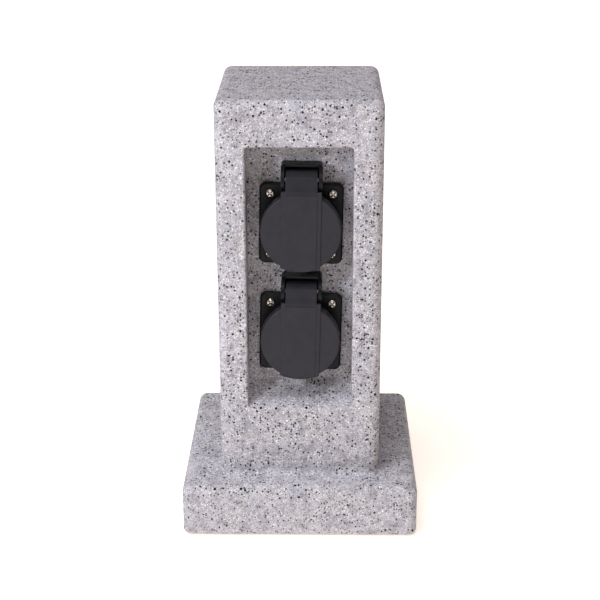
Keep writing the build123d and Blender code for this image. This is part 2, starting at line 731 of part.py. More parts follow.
def hinge_pin():
    """The steel pin through the hood's cheeks and the lid's knuckle."""
    half = HOOD_WIDTH / 2 - PIN_END_GAP
    return pin_rod(PIN_R, -half, half)


def coil_point(turns):
    """A point of the spring's helix about the pin, and its direction there, from below the pin."""
    angle = 2 * math.pi * turns
    climb = SPRING_PITCH * (turns - SPRING_TURNS / 2)
    place = Vector(climb, PIN_UP - SPRING_R * math.cos(angle), PIN_OUT + SPRING_R * math.sin(angle))
    along = Vector(SPRING_PITCH / (2 * math.pi), SPRING_R * math.sin(angle), SPRING_R * math.cos(angle))
    return place, along.normalized()


def biarc(start, start_way, end, end_way):
    """Two arcs that leave one point in its direction and reach another in its direction."""
    chord = end - start
    ways = start_way + end_way
    square = 2 * (1 - start_way.dot(end_way))
    middle = chord.dot(ways)
    reach = (math.sqrt(middle**2 + square * chord.dot(chord)) - middle) / square
    joint = (start + end + (start_way - end_way) * reach) * 0.5
    first = TangentArc(start, joint, tangent=start_way)
    second = TangentArc(end, joint, tangent=end_way * -1)
    return [first, second]


def lid_spring():
    """The torsion spring about the pin: one wire, a leg on the flange, its coil and a leg in the lid."""
    first, first_way = coil_point(0)
    last, last_way = coil_point(SPRING_TURNS)
    back_end = first - first_way * SPRING_BACK_LEG
    front_end = last + last_way * SPRING_FRONT_LEG
    lines = [Line(back_end, first)]
    for half_turn in range(2 * SPRING_TURNS):
        start, start_way = coil_point(half_turn / 2)
        end, end_way = coil_point((half_turn + 1) / 2)
        lines += biarc(start, start_way, end, end_way)
    lines.append(Line(last, front_end))
    section = Plane(origin=back_end, z_dir=first_way) * RegularPolygon(SPRING_WIRE_R, WIRE_SIDES)
    return sweep(section, path=Wire(lines))


def socket_insert():
    """The insert that closes the well from behind: pin holes, contact chambers and clip slots."""
    body = post(INSERT_R, INSERT_BACK, WELL_FLOOR)
    face_back = WELL_FLOOR - INSERT_FACE_THICK
    for side in (-1, 1):
        body -= post(PIN_HOLE_R, INSERT_BACK - CUT, WELL_FLOOR + CUT, side * PIN_HALF)
        bevel = Cone(PIN_HOLE_R, PIN_HOLE_R + PIN_HOLE_BEVEL, PIN_HOLE_BEVEL, align=STANDING)
        body -= Pos(side * PIN_HALF, 0, WELL_FLOOR - PIN_HOLE_BEVEL) * bevel
        body -= post(SLEEVE_OUT_R + SLEEVE_GAP, INSERT_BACK - CUT, face_back, side * PIN_HALF)
        slot_low = CLIP_ROOT - CLIP_BEND_R - CLIP_SLOT_GAP
        slot_high = CLIP_ROOT + CLIP_THICK / 2 + CLIP_SLOT_GAP
        slot_half = CLIP_WIDTH / 2 + CLIP_SLOT_GAP
        slot = slab(-slot_half, slot_half, slot_low, slot_high, INSERT_BACK - CUT, WELL_FLOOR + CUT)
        body -= Rot(0, 0, 90 - 90 * side) * slot
    return body


def clamp_block():
    """A wire clamp behind the insert: a block with two wire holes and their screw holes."""
    half_x = CLAMP_WIDTH / 2
    half_y = CLAMP_HEIGHT / 2
    back = INSERT_BACK - CLAMP_LENGTH
    body = slab(-half_x, half_x, -half_y, half_y, back, INSERT_BACK)
    screw_out = back + CLAMP_SCREW_BACK
    for side in (-1, 1):
        y = side * CLAMP_HOLE_PITCH / 2
        body -= post(CLAMP_HOLE_R, back - CUT, back + CLAMP_HOLE_DEPTH, 0, y)
        screw_hole = Cylinder(CLAMP_SCREW_R + FIT, half_y, align=STANDING)
        body -= Pos(0, y, screw_out) * Rot(-90 * side, 0, 0) * screw_hole
    return body


def contact(side):
    """A live or neutral contact: a slit sleeve for the plug's pin and its wire clamp."""
    sleeve = ring(SLEEVE_OUT_R, SLEEVE_IN_R, INSERT_BACK, WELL_FLOOR - INSERT_FACE_THICK - FIT)
    slit_low = INSERT_BACK + SLEEVE_OUT_R
    sleeve -= slab(-SLEEVE_SLIT / 2, SLEEVE_SLIT / 2, -SLEEVE_OUT_R - CUT, SLEEVE_OUT_R + CUT, slit_low, CUT)
    return Pos(side * PIN_HALF, 0, 0) * (sleeve + clamp_block())


def earth_clip():
    """The earth strip: across the insert's back, through its slots and up into the well as two springs."""
    back = INSERT_BACK - CLIP_THICK / 2
    arm = [
        (CLIP_ROOT, back),
        (CLIP_ROOT, WELL_FLOOR),
        (CLIP_TOUCH, CLIP_TOUCH_OUT),
        (CLIP_TIP, CLIP_TIP_OUT),
    ]
    path = [(-up, out) for up, out in reversed(arm)] + arm
    line = FilletPolyline(*path, radius=CLIP_BEND_R)
    strip = make_face(offset(line, CLIP_THICK / 2, side=Side.BOTH))
    body = Pos(-CLIP_WIDTH / 2, 0, 0) * extrude(Plane.YZ * strip, CLIP_WIDTH)
    return body + Pos(0, 0, FIT - CLIP_THICK) * clamp_block()


def clamp_screws():
    """Two screws in each of the three clamps of a socket."""
    screws = []
    reach = (CLAMP_HEIGHT - CLAMP_HOLE_PITCH) / 2 - CLAMP_HOLE_R
    screw = post(CLAMP_SCREW_R, -reach, 0) + post(CLAMP_SCREW_HEAD_R, 0, CLAMP_SCREW_HEAD)
    screw -= slab(
        -CLAMP_SCREW_HEAD_R,
        CLAMP_SCREW_HEAD_R,
        -SCREW_SLOT / 2,
        SCREW_SLOT / 2,
        CLAMP_SCREW_HEAD / 2,
        CLAMP_SCREW_HEAD + CUT,
    )
    for x in (-PIN_HALF, 0, PIN_HALF):
        out = INSERT_BACK - CLAMP_LENGTH + CLAMP_SCREW_BACK
        if x == 0:
            out += FIT - CLIP_THICK
        for side in (-1, 1):
            screws.append(Pos(x, side * CLAMP_HEIGHT / 2, out) * Rot(-90 * side, 0, 0) * screw)
    return screws


def rear_cap():
    """The cap over the rear tube: a snap rim, a plate with the wire outlet and a sleeve on the insert."""
    groove_back = -TUBE_LENGTH + SNAP_BEAD_BACK
    groove_front = groove_back + SNAP_BEAD_WIDTH
    inner = TUBE_R + CAP_FIT
    front = -TUBE_LENGTH + CAP_LAP
    sleeve_out = REAR_BORE_R - CAP_FIT
    body = turned(
        [
            (0, CAP_BACK),
            (inner + CAP_WALL, CAP_BACK),
            (inner + CAP_WALL, front),
            (inner, front),
            (inner, groove_front),
            (inner + SNAP_BEAD, (groove_back + groove_front) / 2),
            (inner, groove_back),
            (inner, -TUBE_LENGTH),
            (sleeve_out, -TUBE_LENGTH),
            (sleeve_out, INSERT_BACK - CAP_FIT),
            (sleeve_out - CAP_SLEEVE_WALL, INSERT_BACK - CAP_FIT),
            (sleeve_out - CAP_SLEEVE_WALL, -TUBE_LENGTH),
            (0, -TUBE_LENGTH),
        ]
    )
    half_x = CAP_OUTLET_WIDTH / 2
    half_y = CAP_OUTLET_HEIGHT / 2
    return body - slab(-half_x, half_x, -half_y, half_y, CAP_BACK - CUT, CUT - TUBE_LENGTH)


def gland_parts():
    """The cable gland's pieces in its own frame, from the pocket's wall outwards."""
    collar_back = GLAND_WASHER_THICK
    nut_back = collar_back + GLAND_COLLAR
    nut_front = nut_back + GLAND_NUT_LENGTH
    neck_front = nut_back + GLAND_NECK
    seal_back = nut_back + CUT
    seal_front = nut_front - GLAND_NUT_LIP
    thread_back = -POCKET_WALL - GLAND_LOCKNUT - CUT
    body = post(GLAND_THREAD_R, thread_back, collar_back + FIT)
    body += hexagon(GLAND_FLATS, collar_back, nut_back)
    body += post(GLAND_NECK_R, nut_back - FIT, neck_front)
    body -= post(GLAND_BORE_R, thread_back - CUT, neck_front + CUT)
    body -= post(GLAND_SEAL_OUT_R + GLAND_SEAL_GAP, seal_back - GLAND_SEAL_GAP, neck_front + CUT)
    nut = hexagon(GLAND_FLATS, nut_back, nut_back + GLAND_NUT_HEX)
    dome_back = nut_back + GLAND_NUT_HEX
    dome_r = GLAND_FLATS / 2
    nut += turned(
        [
            (0, dome_back - FIT),
            (dome_r, dome_back - FIT),
            (dome_r, nut_front - GLAND_NUT_LIP),
            (dome_r - GLAND_NUT_LIP, nut_front),
            (0, nut_front),
        ]
    )
    nut -= post(GLAND_NUT_MOUTH_R, nut_back - CUT, nut_front + CUT)
    nut -= post(GLAND_SEAL_OUT_R + GLAND_SEAL_GAP, nut_back - CUT, seal_front)
    nut -= post(GLAND_NECK_R + FIT, nut_back - CUT, neck_front + FIT)
    seal = ring(GLAND_SEAL_OUT_R, GLAND_SEAL_IN_R, seal_back, seal_front)
    washer = ring(GLAND_WASHER_R, GLAND_THREAD_R + FIT, 0, GLAND_WASHER_THICK)
    locknut = hexagon(GLAND_FLATS, -POCKET_WALL - GLAND_LOCKNUT, -POCKET_WALL)
    locknut -= post(GLAND_THREAD_R + FIT, -POCKET_WALL - GLAND_LOCKNUT - CUT, CUT)
    return {
        "cable_gland_body": body,
        "cable_gland_nut": nut,
        "cable_gland_seal": seal,
        "cable_gland_washer": washer,
        "cable_gland_locknut": locknut,
    }


def pole_places():
    """X of the terminal block's live, earth and neutral poles."""
    return {"live": -POLE_PITCH, "earth": 0.0, "neutral": POLE_PITCH}


def pole_rod(radius, x, y_low, y_high):
    """A cylinder along Y at a pole of the terminal block."""
    return Pos(x, y_high, POLE_Z) * Rot(90, 0, 0) * Cylinder(radius, y_high - y_low, align=STANDING)


def terminal_block():
    """The moulded terminal block, screwed up to the base's roof, with its screws facing down."""
    half_y = BLOCK_DEPTH / 2
    low = ROOF_Z - BLOCK_HEIGHT
    body = slab(-BLOCK_LENGTH / 2, BLOCK_LENGTH / 2, BLOCK_Y - half_y, BLOCK_Y + half_y, low, ROOF_Z)
    for x in pole_places().values():
        body -= pole_rod(POLE_R + FIT, x, BLOCK_Y - half_y - CUT, BLOCK_Y + half_y + CUT)
        for side in (-1, 1):
            y = BLOCK_Y + side * POLE_SCREW_OFFSET
            body -= post(POLE_SCREW_R + SCREW_HOLE_GAP, low - CUT, POLE_Z, x, y)
    for x in (-POLE_PITCH / 2, POLE_PITCH / 2):
        body -= post(BLOCK_SCREW_R + FIT, low - CUT, ROOF_Z + CUT, x, BLOCK_Y)
        body -= post(BLOCK_SCREW_HEAD_R + FIT, low - CUT, low + BLOCK_SCREW_HEAD, x, BLOCK_Y)
    return body


def terminal_sleeves():
    """Three brass sleeves in the terminal block."""
    sleeves = []
    half = POLE_LENGTH / 2
    for x in pole_places().values():
        sleeve = pole_rod(POLE_R, x, BLOCK_Y - half, BLOCK_Y + half)
        sleeve -= pole_rod(POLE_BORE_R, x, BLOCK_Y - half - CUT, BLOCK_Y + half + CUT)
        for side in (-1, 1):
            y = BLOCK_Y + side * POLE_SCREW_OFFSET
            sleeve -= post(POLE_SCREW_R + FIT, POLE_Z - POLE_R - CUT, POLE_Z, x, y)
        sleeves.append(sleeve)
    return sleeves


def terminal_screws():
    """Six slotted screws in the terminal block's sleeves."""
    tip = POLE_Z - WIRE_R - FIT
    screw = post(POLE_SCREW_R, tip - POLE_SCREW_LENGTH, tip)
    screw -= slab(
        -POLE_SCREW_R,
        POLE_SCREW_R,
        -SCREW_SLOT / 4,
        SCREW_SLOT / 4,
        tip - POLE_SCREW_LENGTH - CUT,
        tip - POLE_SCREW_LENGTH + SCREW_SLOT,
    )
    places = [(x, side) for x in pole_places().values() for side in (-1, 1)]
    return [Pos(x, BLOCK_Y + side * POLE_SCREW_OFFSET, 0) * screw for x, side in places]


def terminal_fixing_screws():
    """Two screws that hold the terminal block to the base's roof."""
    low = ROOF_Z - BLOCK_HEIGHT
    screw = post(BLOCK_SCREW_HEAD_R, low, low + BLOCK_SCREW_HEAD)
    screw += post(BLOCK_SCREW_R, low, ROOF_Z + BLOCK_SCREW_BITE)
    screw -= slab(
        -BLOCK_SCREW_HEAD_R,
        BLOCK_SCREW_HEAD_R,
        -SCREW_SLOT / 2,
        SCREW_SLOT / 2,
        low - CUT,
        low + BLOCK_SCREW_HEAD / 2,
    )
    return [Pos(x, BLOCK_Y, 0) * screw for x in (-POLE_PITCH / 2, POLE_PITCH / 2)]


def in_socket(name, x, up, out):
    """A point of a socket's own frame as a point of the whole pillar."""
    return (SOCKETS[name] * Pos(x, up, out)).position


def wire_tube(name, points):
    """A wire along straight runs with the largest arcs between them; prints its radii and length."""
    spots = [Vector(point) for point in points]
    runs = [spots[i + 1] - spots[i] for i in range(len(spots) - 1)]
    radii = []
    for before, after in zip(runs, runs[1:]):
        half_turn = math.radians(before.get_angle(after)) / 2
        radii.append(WIRE_RADIUS_SHARE * min(before.length, after.length) / math.tan(half_turn))
    path = FilletPolyline(*spots, radius=radii)
    section = Plane(origin=spots[0], z_dir=runs[0]) * RegularPolygon(WIRE_R, WIRE_SIDES)
    tube = sweep(section, path=path)
    print(name, "radii", [round(radius, 1) for radius in radii], "length", round(path.length, 1))
    return tube


def feed_wire(pole):
    """A wire from the terminal block up to the lower socket's clamp."""
    block_x = pole_places()[pole]
    clamp_x = clamp_places()[pole]
    clamp_back = INSERT_BACK - CLAMP_LENGTH
    hole_up = -CLAMP_HOLE_PITCH / 2
    turn = in_socket("lower", clamp_x, hole_up, -WIRE_BACK_RUN)
    points = [
        in_socket("lower", clamp_x, hole_up, clamp_back + WIRE_IN_CLAMP),
        turn,
        (block_x, turn.Y + WIRE_SWAY, (turn.Z + POLE_Z) / 2),
        (block_x, turn.Y, POLE_Z),
        (block_x, BLOCK_Y + POLE_LENGTH / 2 - WIRE_IN_POLE, POLE_Z),
    ]
    return wire_tube(pole + "_feed_wire", points)


def link_wire(pole):
    """A wire from the lower socket's clamp to the upper socket's."""
    clamp_x = clamp_places()[pole]
    clamp_out = INSERT_BACK - CLAMP_LENGTH + WIRE_IN_CLAMP
    hole_up = CLAMP_HOLE_PITCH / 2
    low_turn = in_socket("lower", clamp_x, hole_up, -WIRE_BACK_RUN)
    high_turn = in_socket("upper", clamp_x, -hole_up, -WIRE_BACK_RUN)
    middle = (low_turn + high_turn) * 0.5
    points = [
        in_socket("lower", clamp_x, hole_up, clamp_out),
        low_turn,
        (middle.X, middle.Y + WIRE_SWAY, middle.Z),
        high_turn,
        in_socket("upper", clamp_x, -hole_up, clamp_out),
    ]
    return wire_tube(pole + "_link_wire", points)


def clamp_places():
    """X of the live, earth and neutral clamps behind a socket."""
    return {"live": -PIN_HALF, "earth": 0.0, "neutral": PIN_HALF}


def spring_gap():
    """Least gap between neighbouring turns of the lid spring, measured on points."""
    steps = 48
    points = [coil_point(step / steps)[0] for step in range(SPRING_TURNS * steps + 1)]
    gaps = []
    for i, near in enumerate(points):
        for far in points[i + steps // 2 :]:
            gaps.append((near - far).length - 2 * SPRING_WIRE_R)
    return min(gaps)


def socket_parts(name, frame):
    """The named pieces of one socket, in the pillar's frame."""
    pieces = {
        "gasket": gasket(),
        "housing": housing(),
        "flange_screws": flange_screws(),
        "flange_screw_inserts": flange_screw_inserts(),
        "lid": lid(),
        "lid_seal": lid_seal(),
        "hinge_pin": hinge_pin(),
        "lid_spring": lid_spring(),
        "insert": socket_insert(),
        "live_contact": contact(-1),
        "neutral_contact": contact(1),
        "earth_clip": earth_clip(),
        "clamp_screws": clamp_screws(),
        "rear_cap": rear_cap(),
    }
    return {name + "_" + piece: placed(shape, frame) for piece, shape in pieces.items()}


def placed(shape, frame):
    """A solid, or each solid of a group, moved from its own frame to the pillar's."""
    if isinstance(shape, list):
        return [frame * solid for solid in shape]
    return frame * shape


def write_step(name, shape):
    """One STEP file for a node, with every solid of a group kept apart."""
    if isinstance(shape, list):
        shape = Compound(children=[solid for group in shape for solid in group.solids()])
    export_step(shape, "parts/" + name + ".step")


def all_parts():
    """Every node of the pillar by name."""
    parts = {
        "column_shell": column_shell(),
        "base_plinth": base_plinth(),
        "base_plate": base_plate(),
        "base_plate_screws": base_plate_screws(),
        "plate_screw_inserts": plate_screw_inserts(),
        "rubber_feet": rubber_feet(),
        "column_tie_screws": column_tie_screws(),
        "column_tie_washers": column_tie_washers(),
        "column_tie_inserts": column_tie_inserts(),
        "terminal_block": terminal_block(),
        "terminal_sleeves": terminal_sleeves(),
        "terminal_screws": terminal_screws(),
        "terminal_fixing_screws": terminal_fixing_screws(),
    }
    for name, shape in gland_parts().items():
        parts[name] = placed(shape, gland_frame())
    for name, frame in SOCKETS.items():
        parts.update(socket_parts(name, frame))
    for pole in pole_places():
        parts[pole + "_feed_wire"] = feed_wire(pole)
        parts[pole + "_link_wire"] = link_wire(pole)
    return parts


os.makedirs("parts", exist_ok=True)
for node, solid in all_parts().items():
    write_step(node, solid)
print("least gap between spring turns", round(spring_gap(), 2), "mm")
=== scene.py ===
import json
import math

import bpy
import numpy as np
from mathutils import Matrix, Vector


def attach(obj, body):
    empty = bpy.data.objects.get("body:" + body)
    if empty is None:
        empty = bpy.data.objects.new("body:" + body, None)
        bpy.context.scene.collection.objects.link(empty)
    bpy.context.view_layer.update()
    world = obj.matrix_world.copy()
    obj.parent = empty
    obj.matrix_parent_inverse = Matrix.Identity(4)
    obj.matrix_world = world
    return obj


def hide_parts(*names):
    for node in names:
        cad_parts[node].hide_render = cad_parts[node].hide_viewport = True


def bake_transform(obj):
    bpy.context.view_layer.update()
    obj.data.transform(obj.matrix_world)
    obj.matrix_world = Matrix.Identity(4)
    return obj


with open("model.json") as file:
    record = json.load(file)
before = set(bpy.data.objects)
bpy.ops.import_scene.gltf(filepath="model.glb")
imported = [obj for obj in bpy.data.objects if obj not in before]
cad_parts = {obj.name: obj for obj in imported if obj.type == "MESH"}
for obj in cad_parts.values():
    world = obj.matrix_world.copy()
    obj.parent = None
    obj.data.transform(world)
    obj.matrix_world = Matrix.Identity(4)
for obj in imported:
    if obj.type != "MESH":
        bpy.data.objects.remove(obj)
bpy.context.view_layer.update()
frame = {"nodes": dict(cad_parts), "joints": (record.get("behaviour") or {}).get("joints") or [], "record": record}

# Camera, solved from the photo's outline of the column and the base: metres and degrees
CAMERA_PLACE = (0.01186, -0.84557, 0.44993)
CAMERA_PITCH = 20.598
CAMERA_YAW = -0.838
CAMERA_ROLL = -0.141
FOCAL_PX = 1393.7
PHOTO_PX = 600.0
SENSOR_MM = 36.0
CLIP_NEAR = 0.01
CLIP_FAR = 50.0

# Key light, a square soft box from the left in front: metres and watts
KEY_PLACE = (-0.60, -0.64, 0.54)
KEY_TARGET = (0.0, 0.0, 0.18)
KEY_SIDE = 0.20
KEY_WATTS = 4.9
KEY_COLOUR = (0.86, 0.92, 1.0)

# Overhead light, in degrees: azimuth 0 is in front and 90 to the right, spread is its width
OVERHEAD_AZIMUTH = -28.0
OVERHEAD_ELEVATION = 73.0
OVERHEAD_SPREAD = 44.0
OVERHEAD_STRENGTH = 2.58
OVERHEAD_COLOUR = (0.95, 0.96, 1.0)

SURROUND_COLOUR = (1.0, 0.8, 0.62, 1.0)
SURROUND_STRENGTH = 0.12
BACKDROP_COLOUR = (1.0, 1.0, 1.0, 1.0)

# Floor: side in metres; its noise is waves per millimetre and detail
FLOOR_SIDE = 12.0
FLOOR_CORNERS = np.array(((-1.0, -1.0, 0.0), (1.0, -1.0, 0.0), (1.0, 1.0, 0.0), (-1.0, 1.0, 0.0)))
FLOOR_NOISE = (0.01, 2.0)
FLOOR_DARK = (0.94, 0.94, 0.95, 1.0)
FLOOR_LIGHT = (0.97, 0.97, 0.97, 1.0)
FLOOR_ROUGHNESS = 0.9
FLOOR_GLOW = (1.0, 0.84, 0.66, 1.0)
FLOOR_GLOW_STRENGTH = 0.48

# A screen's tone curve: straight up to the knee, a power of the shifted value above it
SCREEN_WHITE = 255.0
TONE_KNEE = 0.04045
TONE_SLOPE = 12.92
TONE_SHIFT = 0.055
TONE_POWER = 2.4

MM_PER_METRE = 1000.0
# Places of the sockets on Blender's colour Mix node
MIX_SHARE = 0
MIX_FIRST = 6
MIX_SECOND = 7
MIX_RESULT = 2
# Rays that the soft edges use at each point
EDGE_SAMPLES = 6


def srgb(red, green, blue):
    """Linear colour from 0 to 255 screen values."""
    values = np.array([red, green, blue]) / SCREEN_WHITE
    curved = ((values + TONE_SHIFT) / (1.0 + TONE_SHIFT)) ** TONE_POWER
    linear = np.where(values <= TONE_KNEE, values / TONE_SLOPE, curved)
    return (float(linear[0]), float(linear[1]), float(linear[2]), 1.0)


def dimmed(colour, share):
    """A colour at a share of its brightness."""
    return tuple(value * share for value in colour[:3]) + (1.0,)


class Finish:
    """A node material: adds shader nodes and joins them to the surface shader."""

    def __init__(self, name):
        self.material = bpy.data.materials.new(name)
        self.material.use_nodes = True
        self.tree = self.material.node_tree
        self.shader = self.tree.nodes["Principled BSDF"]
        self.place = self.coordinates()

    def add(self, kind, settings=None, **inputs):
        """One node, with its settings and its inputs as numbers or as other nodes' outputs."""
        node = self.tree.nodes.new(kind)
        for name, value in (settings or {}).items():
            setattr(node, name, value)
        for name, value in inputs.items():
            self.put(node.inputs[name.replace("_", " ")], value)
        return node

    def put(self, socket, value):
        """Sets an input to a number or joins an output to it."""
        if isinstance(value, bpy.types.NodeSocket):
            self.tree.links.new(value, socket)
        else:
            socket.default_value = value

    def coordinates(self):
        """Object coordinates in millimetres."""
        source = self.tree.nodes.new("ShaderNodeTexCoord")
        mapping = self.add("ShaderNodeMapping", Vector=source.outputs["Object"], Scale=(MM_PER_METRE,) * 3)
        return mapping.outputs["Vector"]

    def noise(self, scale, detail, rough=0.5):
        """Soft noise from 0 to 1, its scale in waves per millimetre."""
        node = self.add(
            "ShaderNodeTexNoise", Vector=self.place, Scale=scale, Detail=detail, Roughness=rough
        )
        return node.outputs["Fac"]

    def cells(self, scale, place):
        """Voronoi cells, their scale in cells per millimetre."""
        return self.add("ShaderNodeTexVoronoi", Vector=place, Scale=scale)

    def sums(self, operation, first, second):
        """One step of arithmetic on two numbers or outputs."""
        node = self.add("ShaderNodeMath", {"operation": operation})
        self.put(node.inputs[0], first)
        self.put(node.inputs[1], second)
        return node.outputs[0]

    def band(self, value, low, high, out_low=0.0, out_high=1.0):
        """A value carried from one range to another, held at both ends."""
        ends = {"From_Min": low, "From_Max": high, "To_Min": out_low, "To_Max": out_high}
        node = self.add("ShaderNodeMapRange", {"clamp": True}, Value=value, **ends)
        return node.outputs["Result"]

    def mix(self, share, first, second):
        """Two colours mixed by a share, which is held between 0 and 1."""
        node = self.add("ShaderNodeMix", {"data_type": "RGBA"})
        self.put(node.inputs[MIX_SHARE], share)
        self.put(node.inputs[MIX_FIRST], first)
        self.put(node.inputs[MIX_SECOND], second)
        return node.outputs[MIX_RESULT]

    def bump(self, height, depth, below=None):
        """A bumped normal, its depth in metres."""
        node = self.add("ShaderNodeBump", Height=height, Distance=depth, Strength=1.0)
        if below is not None:
            self.put(node.inputs["Normal"], below)
        return node.outputs["Normal"]

    def soft_edges(self, radius):
        """A normal that rounds the piece's sharp edges, their radius in metres."""
        node = self.add("ShaderNodeBevel", {"samples": EDGE_SAMPLES}, Radius=radius)
        return node.outputs["Normal"]

    def surface(self, **inputs):
        """Sets the surface shader's inputs."""
        for name, value in inputs.items():
            self.put(self.shader.inputs[name.replace("_", " ")], value)
        return self.material


# Stone colours
STONE_LIGHT = srgb(212, 207, 212)
STONE_MID = srgb(132, 128, 132)
STONE_SPARK = srgb(250, 248, 250)
STONE_GREY = srgb(70, 66, 71)
STONE_BLACK = srgb(18, 17, 20)
STONE_COOL = srgb(164, 164, 176)

# Stone noises: waves per millimetre, detail and roughness
PATCH_NOISE = (0.6, 5.0, 0.75)
COOL_NOISE = (0.12, 3.0)
SMUDGE_NOISE = (0.16, 6.0, 0.72)
CLOUD_NOISE = (0.07, 4.0, 0.6)
FINE_RELIEF_NOISE = (1.6, 3.0, 0.6)
BROAD_RELIEF_NOISE = (0.12, 2.0)

# Stone bands: the range that counts in the pattern, and what it is carried to where that isn't 0 to 1
PATCH_BAND = (0.36, 0.64)
COOL_BAND = (0.45, 0.7, 0.0, 0.5)
SPARK_BAND = (0.91, 0.97)
SMUDGE_BAND = (0.47, 0.72, 0.0, 0.55)
CLOUD_BAND = (0.38, 0.66, -0.16, 0.16)
STONE_ROUGH_BAND = (0.0, 1.0, 0.55, 0.8)

# Grain: cells per millimetre, and how much of the tone is in patches wider than a grain
GRAIN_CELLS = 2.3
PATCH_SHARE = 0.6
# Drift of the cells: waves per millimetre, detail, and reach in millimetres
DRIFT_WAVES = 0.9
DRIFT_DETAIL = 2.0
DRIFT_REACH = 0.8
# Relief in metres, and the surface's gleam
FINE_RELIEF = 0.00010
BROAD_RELIEF = 0.0008
STONE_GLEAM = 0.15

# Specks: cells per millimetre, radius in millimetres, share of the cells, strength (over 1 makes
# more of them fully dark), colour
STONE_SPECKS = (
    (1.40, 0.33, 0.34, 0.80, STONE_GREY),
    (0.80, 0.58, 0.30, 0.75, STONE_GREY),
    (0.62, 0.76, 0.34, 1.15, STONE_BLACK),
    (0.42, 1.12, 0.18, 1.25, STONE_BLACK),
)
# Shares of a speck's full size and strength: the least size, the soft rim, the least strength
SPECK_LEAST_SIZE = 0.55
SPECK_RIM = 0.25
SPECK_LEAST_STRENGTH = 0.55


def drifted(stone):
    """The stone's places shifted by soft noise, so that cells set out on them lose their order."""
    wobble = stone.add("ShaderNodeTexNoise", Vector=stone.place, Scale=DRIFT_WAVES, Detail=DRIFT_DETAIL)
    shifted = stone.add("ShaderNodeVectorMath", {"operation": "MULTIPLY_ADD"})
    stone.put(shifted.inputs[0], wobble.outputs["Color"])
    stone.put(shifted.inputs[1], (DRIFT_REACH,) * 3)
    stone.put(shifted.inputs[2], stone.place)
    return shifted.outputs["Vector"]


def specks(stone, place, cloud, colour, cells_per_mm, radius, share, strength, tint):
    """Round specks of one colour: some of the cells hold one, more of them where it is cloudy."""
    cells = stone.cells(cells_per_mm, place)
    pick = stone.add("ShaderNodeSeparateColor", Color=cells.outputs["Color"])
    likely = stone.sums("ADD", pick.outputs["Red"], cloud)
    chosen = stone.sums("GREATER_THAN", likely, 1.0 - share)
    widest = radius * cells_per_mm
    reach = stone.band(pick.outputs["Green"], 0.0, 1.0, SPECK_LEAST_SIZE * widest, widest)
    inside = stone.sums("SUBTRACT", reach, cells.outputs["Distance"])
    spot = stone.sums("MULTIPLY", stone.band(inside, 0.0, SPECK_RIM * widest), chosen)
    fade = stone.band(pick.outputs["Blue"], 0.0, 1.0, SPECK_LEAST_STRENGTH * strength, strength)
    return stone.mix(stone.sums("MULTIPLY", spot, fade), colour, tint)


def granite():
    """Cast stone: fine pale grain, white sparks, and grey and black specks in loose clouds."""
    stone = Finish("granite_cast")
    loose = drifted(stone)
    grains = stone.cells(GRAIN_CELLS, loose)
    shade = stone.add("ShaderNodeSeparateColor", Color=grains.outputs["Color"])
    patch = stone.band(stone.noise(*PATCH_NOISE), *PATCH_BAND)
    wide_tone = stone.sums("MULTIPLY", patch, PATCH_SHARE)
    fine_tone = stone.sums("MULTIPLY", shade.outputs["Red"], 1.0 - PATCH_SHARE)
    colour = stone.mix(stone.sums("ADD", wide_tone, fine_tone), STONE_MID, STONE_LIGHT)
    cool = stone.band(stone.noise(*COOL_NOISE), *COOL_BAND)
    colour = stone.mix(cool, colour, STONE_COOL)
    sparks = stone.band(shade.outputs["Green"], *SPARK_BAND)
    colour = stone.mix(sparks, colour, STONE_SPARK)
    smudge = stone.band(stone.noise(*SMUDGE_NOISE), *SMUDGE_BAND)
    colour = stone.mix(smudge, colour, STONE_GREY)
    cloud = stone.band(stone.noise(*CLOUD_NOISE), *CLOUD_BAND)
    for speck in STONE_SPECKS:
        colour = specks(stone, loose, cloud, colour, *speck)
    relief = stone.bump(stone.noise(*FINE_RELIEF_NOISE), FINE_RELIEF)
    relief = stone.bump(stone.noise(*BROAD_RELIEF_NOISE), BROAD_RELIEF, relief)
    rough = stone.band(shade.outputs["Green"], *STONE_ROUGH_BAND)
    return stone.surface(
        Base_Color=colour, Roughness=rough, Specular_IOR_Level=STONE_GLEAM, Normal=relief
    )


# Moulded plastic: noises and bands as for the stone, how dark its dim patches are, how far its
# roughness falls and rises, its grain in metres, its gleam, and the radius of its soft edges in metres
PLASTIC_CLOUD_NOISE = (0.12, 5.0, 0.65)
PLASTIC_CLOUD_BAND = (0.36, 0.62)
PLASTIC_DIM = 0.78
PLASTIC_ROUGH_NOISE = (0.35, 4.0, 0.65)
PLASTIC_ROUGH_BAND = (0.34, 0.66)
PLASTIC_SMOOTHER = 0.07
PLASTIC_ROUGHER = 0.08
PLASTIC_GRAIN_NOISE = (3.0, 2.0, 0.6)
PLASTIC_GRAIN = 0.00002
LID_GRAIN = 0.00003
PLATE_GRAIN = 0.00004
PLASTIC_GLEAM = 0.25
SOCKET_GLEAM = 0.2
EDGE_R = 0.00035
LID_EDGE_R = 0.0006


def moulded(name, colour, roughness, grain=PLASTIC_GRAIN, edge=EDGE_R, gleam=PLASTIC_GLEAM):
    """Moulded plastic: a fine eroded grain, slight cloudiness in colour and gloss."""
    plastic = Finish(name)
    cloud = plastic.band(plastic.noise(*PLASTIC_CLOUD_NOISE), *PLASTIC_CLOUD_BAND)
    tint = plastic.mix(cloud, dimmed(colour, PLASTIC_DIM), colour)
    gloss = plastic.band(
        plastic.noise(*PLASTIC_ROUGH_NOISE),
        *PLASTIC_ROUGH_BAND,
        roughness - PLASTIC_SMOOTHER,
        roughness + PLASTIC_ROUGHER,
    )
    relief = plastic.bump(plastic.noise(*PLASTIC_GRAIN_NOISE), grain, plastic.soft_edges(edge))
    return plastic.surface(Base_Color=tint, Roughness=gloss, Specular_IOR_Level=gleam, Normal=relief)


